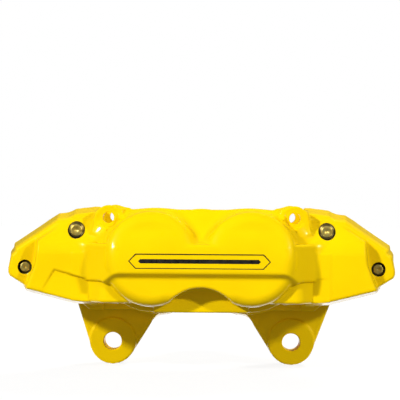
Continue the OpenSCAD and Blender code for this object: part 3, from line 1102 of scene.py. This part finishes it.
def band_stripe(name, outline_points, hollow_points=None):
    """A thin film of ink on the band's face, with an inner outline left open."""
    near, far = BAND_FACE - 0.02, BAND_FACE + 0.04
    loops = [outline_points] if hollow_points is None else [outline_points, hollow_points]
    n = len(outline_points)
    points = [(x, d, z) for d in (near, far) for loop in loops for x, z in loop]
    layer = n * len(loops)
    faces = []
    for i in range(n):
        j = (i + 1) % n
        faces.append((i, j, layer + j, layer + i))
        if hollow_points is not None:
            faces.append((n + j, n + i, layer + n + i, layer + n + j))
            faces.append((layer + i, layer + j, layer + n + j, layer + n + i))
            faces.append((j, i, n + i, n + j))
    if hollow_points is None:
        faces += [list(range(n))[::-1], list(range(n, 2 * n))]
    return new_object(name, to_row(points, OUTBOARD), faces)


def long_hexagon(centre, half_w, half_h, point):
    """A hexagon with long flat sides and a point of that length at each end."""
    x, z = centre
    return [(x - half_w, z), (x - half_w + point, z - half_h), (x + half_w - point, z - half_h),
            (x + half_w, z), (x + half_w - point, z + half_h), (x - half_w + point, z + half_h)]


BAND_CENTRE = (-1.0, 65.0)
stripes = [
    band_stripe("frame", long_hexagon(BAND_CENTRE, 50, 5.3, 5),
                long_hexagon(BAND_CENTRE, 49.1, 4.7, 4.5)),
    band_stripe("bar", long_hexagon(BAND_CENTRE, 43, 1.5, 1.5))]
decal = unite("plain_stripe_decal", stripes)
shade(decal, 30)
decal.data.materials.append(INK)
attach(decal, "caliper")

# ---------------------------------------------------------------- studio

scene = bpy.context.scene
scene.view_settings.view_transform = "Standard"

# The lens in millimetres, the place in metres and the turns about x, y and z in degrees
CAMERA_LENS = 143.5
CAMERA_PLACE = (0.0123, -1.217, 0.1081)
CAMERA_TURN = (90, -0.4, 0.68)
# Strengths of the world: for diffuse light, and the least that a reflection sees
EVEN_FILL = 0.28
TENT_LEAST = 0.05


def studio_camera():
    """A long lens, almost level and straight in front, as in the photo."""
    data = bpy.data.cameras.new("camera")
    data.lens = CAMERA_LENS
    camera = bpy.data.objects.new("camera", data)
    camera.location = CAMERA_PLACE
    camera.rotation_euler = [math.radians(angle) for angle in CAMERA_TURN]
    scene.collection.objects.link(camera)
    scene.camera = camera


def grade(tree, value, source, target):
    """Maps value from a source range to a target range."""
    node = tree.nodes.new("ShaderNodeMapRange")
    for name, number in zip(("From Min", "From Max", "To Min", "To Max"), source + target):
        node.inputs[name].default_value = number
    tree.links.new(value, node.inputs["Value"])
    return node.outputs["Result"]


def for_rays(tree, kind, seen, otherwise):
    """The strength seen by one kind of ray, and that for every other kind."""
    mix = tree.nodes.new("ShaderNodeMix")
    rays = tree.nodes.new("ShaderNodeLightPath")
    tree.links.new(rays.outputs[kind], mix.inputs["Factor"])
    for socket, value in (("A", otherwise), ("B", seen)):
        if isinstance(value, float):
            mix.inputs[socket].default_value = value
        else:
            tree.links.new(value, mix.inputs[socket])
    return mix.outputs["Result"]


def studio_world():
    """White to the camera, an even fill for diffuse light, and for reflections a tent that is
    open in front and brightest low down behind."""
    world = bpy.data.worlds.new("studio")
    scene.world = world
    world.use_nodes = True
    tree = world.node_tree
    background = tree.nodes["Background"]
    background.inputs["Color"].default_value = (1, 1, 1, 1)
    axes = tree.nodes.new("ShaderNodeSeparateXYZ")
    where = tree.nodes.new("ShaderNodeTexCoord")
    tree.links.new(where.outputs["Generated"], axes.inputs["Vector"])
    behind = grade(tree, axes.outputs["Y"], (0.25, 0.6), (0.0, 1.0))
    below = grade(tree, axes.outputs["Z"], (0.0, -0.35), (0.03, 2.6))
    tent = tree.nodes.new("ShaderNodeMath")
    tent.operation = "MULTIPLY_ADD"
    tree.links.new(behind, tent.inputs[0])
    tree.links.new(below, tent.inputs[1])
    tent.inputs[2].default_value = TENT_LEAST
    level = for_rays(tree, "Is Glossy Ray", tent.outputs["Value"], EVEN_FILL)
    level = for_rays(tree, "Is Camera Ray", 1.0, level)
    tree.links.new(level, background.inputs["Strength"])


def sun(name, direction, strength, softness=4, mirrored=True):
    """A sun that shines from a direction, softness degrees across, and may show in reflections."""
    data = bpy.data.lights.new(name, "SUN")
    data.energy = strength
    data.angle = math.radians(softness)
    piece = bpy.data.objects.new(name, data)
    piece.rotation_euler = Vector(direction).to_track_quat("Z", "Y").to_euler()
    piece.visible_glossy = mirrored
    scene.collection.objects.link(piece)


def studio_floor():
    """A pale floor, lit mostly by its own glow, so that shadows stay faint on it."""
    bpy.ops.mesh.primitive_plane_add(size=12, location=(0, 0, FLOOR_Z))
    floor = bpy.context.object
    floor.name = "floor"
    floor.visible_diffuse = False
    floor.visible_glossy = False
    surface = Surface("floor", 0.9, specular=0.1)
    surface.colour(surface.noise(2), 0.3, 0.7, (0.12, 0.12, 0.12), (0.13, 0.13, 0.13))
    surface.bsdf.inputs["Emission Color"].default_value = (1, 1, 1, 1)
    surface.bsdf.inputs["Emission Strength"].default_value = 0.87
    floor.data.materials.append(surface.material)


studio_camera()
studio_world()
sun("key", (-1.1, -1, 0.72), 3.05)
sun("fill", (1.15, -1, 0.66), 1.8)
sun("back", (0.5, 1, 0.8), 3.4, softness=20, mirrored=False)
studio_floor()
